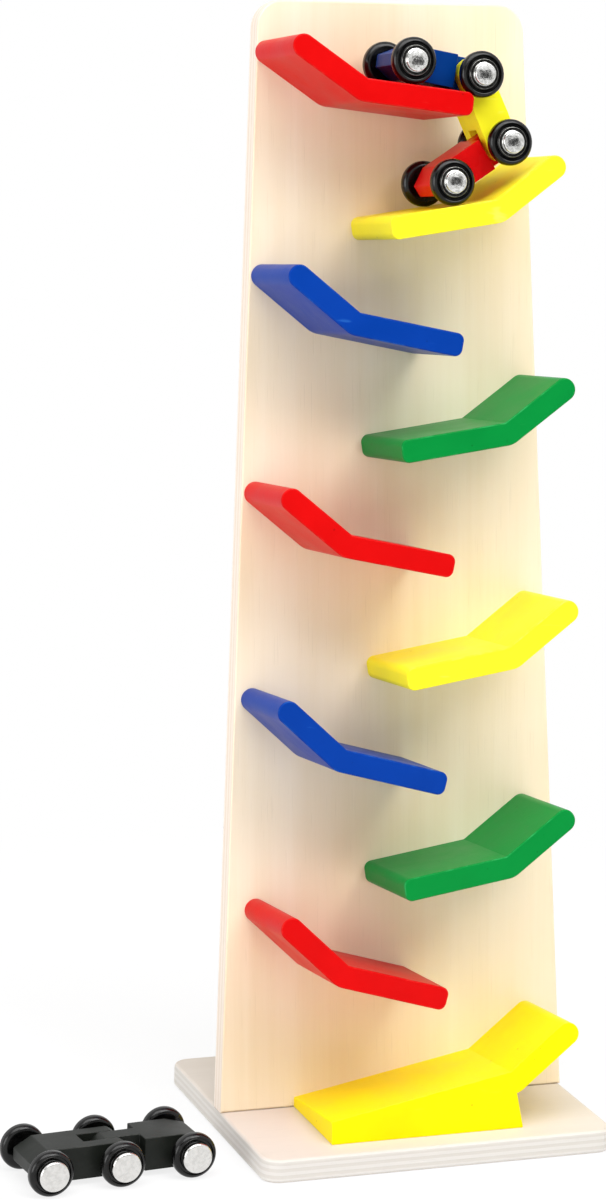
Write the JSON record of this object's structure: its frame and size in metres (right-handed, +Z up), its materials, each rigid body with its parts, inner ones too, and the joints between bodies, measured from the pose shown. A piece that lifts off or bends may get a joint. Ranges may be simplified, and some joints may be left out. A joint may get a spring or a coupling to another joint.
{
  "type": "click clack track toy",
  "caption": "Leaning tower of bent ramps in bright colours, down which a hinged train on free wheels tumbles from ramp to ramp, with a spare black train beside it.",
  "frame": {"origin": "centre of the base's underside", "axes": "+Z up, +X to the right as seen from the front, +Y to the back"},
  "size_m": [0.3232, 0.1686, 0.5965],
  "materials": {
    "whitewashed_ply": "whitewashed plywood with bare ply edges",
    "birch_board": "clear satin birch plywood",
    "zinc_screws": "zinc plated",
    "red_paint": "painted wood, satin",
    "yellow_paint": "painted wood, satin",
    "blue_paint": "painted wood, satin",
    "green_paint": "painted wood, satin",
    "red_car_paint": "gloss painted wood",
    "yellow_car_paint": "gloss painted wood",
    "blue_car_paint": "gloss painted wood",
    "black_car_paint": "satin black painted wood",
    "black_wheel": "glossy",
    "steel_axle": "ground",
    "bright_cap": "bright"
  },
  "bodies": {
    "tower": {"base_plate": "whitewashed_ply", "back_board": "birch_board", "red_ramp_1": "red_paint", "yellow_ramp_2": "yellow_paint", "blue_ramp_3": "blue_paint", "green_ramp_4": "green_paint", "red_ramp_5": "red_paint", "yellow_ramp_6": "yellow_paint", "blue_ramp_7": "blue_paint", "green_ramp_8": "green_paint", "red_ramp_9": "red_paint", "yellow_ramp_10": "yellow_paint", "ramp_screws": "zinc_screws", "board_screws": "zinc_screws"},
    "red_car": {"red_link": "red_car_paint"},
    "yellow_car": {"yellow_link": "yellow_car_paint"},
    "blue_car": {"blue_link": "blue_car_paint"},
    "train_wheelset_1": {"train_axle_1": "steel_axle", "train_near_wheel_1": "black_wheel", "train_far_wheel_1": "black_wheel", "train_caps_1": "bright_cap"},
    "train_wheelset_2": {"train_axle_2": "steel_axle", "train_near_wheel_2": "black_wheel", "train_far_wheel_2": "black_wheel", "train_caps_2": "bright_cap"},
    "train_wheelset_3": {"train_axle_3": "steel_axle", "train_near_wheel_3": "black_wheel", "train_far_wheel_3": "black_wheel", "train_caps_3": "bright_cap"},
    "train_wheelset_4": {"train_axle_4": "steel_axle", "train_near_wheel_4": "black_wheel", "train_far_wheel_4": "black_wheel", "train_caps_4": "bright_cap"},
    "black_fork_car": {"black_fork_link": "black_car_paint"},
    "black_tongue_car": {"black_tongue_link": "black_car_paint"},
    "black_wheelset_1": {"black_axle_1": "steel_axle", "black_near_wheel_1": "black_wheel", "black_far_wheel_1": "black_wheel", "black_caps_1": "bright_cap"},
    "black_wheelset_2": {"black_axle_2": "steel_axle", "black_near_wheel_2": "black_wheel", "black_far_wheel_2": "black_wheel", "black_caps_2": "bright_cap"},
    "black_wheelset_3": {"black_axle_3": "steel_axle", "black_near_wheel_3": "black_wheel", "black_far_wheel_3": "black_wheel", "black_caps_3": "bright_cap"}
  },
  "joints": [
    {"name": "train_pull_off", "type": "slide", "parent": "tower", "child": "red_car", "axis": [0, -0.9941, 0.1089], "range_m": [0, 0.09]},
    {"name": "axle_3_hinge", "type": "hinge", "parent": "red_car", "child": "yellow_car", "pos_m": [0.04376, 0.01302, 0.52648], "axis": [0, 0.9941, -0.1089], "range_deg": [0, 108]},
    {"name": "axle_2_hinge", "type": "hinge", "parent": "yellow_car", "child": "blue_car", "pos_m": [0.02793, 0.01678, 0.56082], "axis": [0, 0.9941, -0.1089], "range_deg": [0, 140]},
    {"name": "train_wheels_1_spin", "type": "hinge", "parent": "blue_car", "child": "train_wheelset_1", "pos_m": [-0.00953, 0.01747, 0.56715], "axis": [0, 0.9941, -0.1089], "continuous": true},
    {"name": "train_wheels_2_spin", "type": "hinge", "parent": "yellow_car", "child": "train_wheelset_2", "pos_m": [0.02793, 0.01678, 0.56082], "axis": [0, 0.9941, -0.1089], "continuous": true},
    {"name": "train_wheels_3_spin", "type": "hinge", "parent": "red_car", "child": "train_wheelset_3", "pos_m": [0.04376, 0.01302, 0.52648], "axis": [0, 0.9941, -0.1089], "continuous": true},
    {"name": "train_wheels_4_spin", "type": "hinge", "parent": "red_car", "child": "train_wheelset_4", "pos_m": [0.01185, 0.01077, 0.50598], "axis": [0, 0.9941, -0.1089], "continuous": true},
    {"name": "black_train_roll", "type": "slide", "parent": "tower", "child": "black_fork_car", "axis": [0.9954, 0.0958, 0], "range_m": [-0.15, 0.015]},
    {"name": "black_hinge", "type": "hinge", "parent": "black_fork_car", "child": "black_tongue_car", "pos_m": [-0.1716, -0.04545, 0.012], "axis": [0.0958, -0.9954, 0], "range_deg": [0, 100]},
    {"name": "black_wheels_1_spin", "type": "hinge", "parent": "black_fork_car", "child": "black_wheelset_1", "pos_m": [-0.21062, -0.04921, 0.012], "axis": [-0.0958, 0.9954, 0], "continuous": true},
    {"name": "black_wheels_2_spin", "type": "hinge", "parent": "black_fork_car", "child": "black_wheelset_2", "pos_m": [-0.1716, -0.04545, 0.012], "axis": [-0.0958, 0.9954, 0], "continuous": true},
    {"name": "black_wheels_3_spin", "type": "hinge", "parent": "black_tongue_car", "child": "black_wheelset_3", "pos_m": [-0.13258, -0.04169, 0.012], "axis": [-0.0958, 0.9954, 0], "continuous": true}
  ]
}
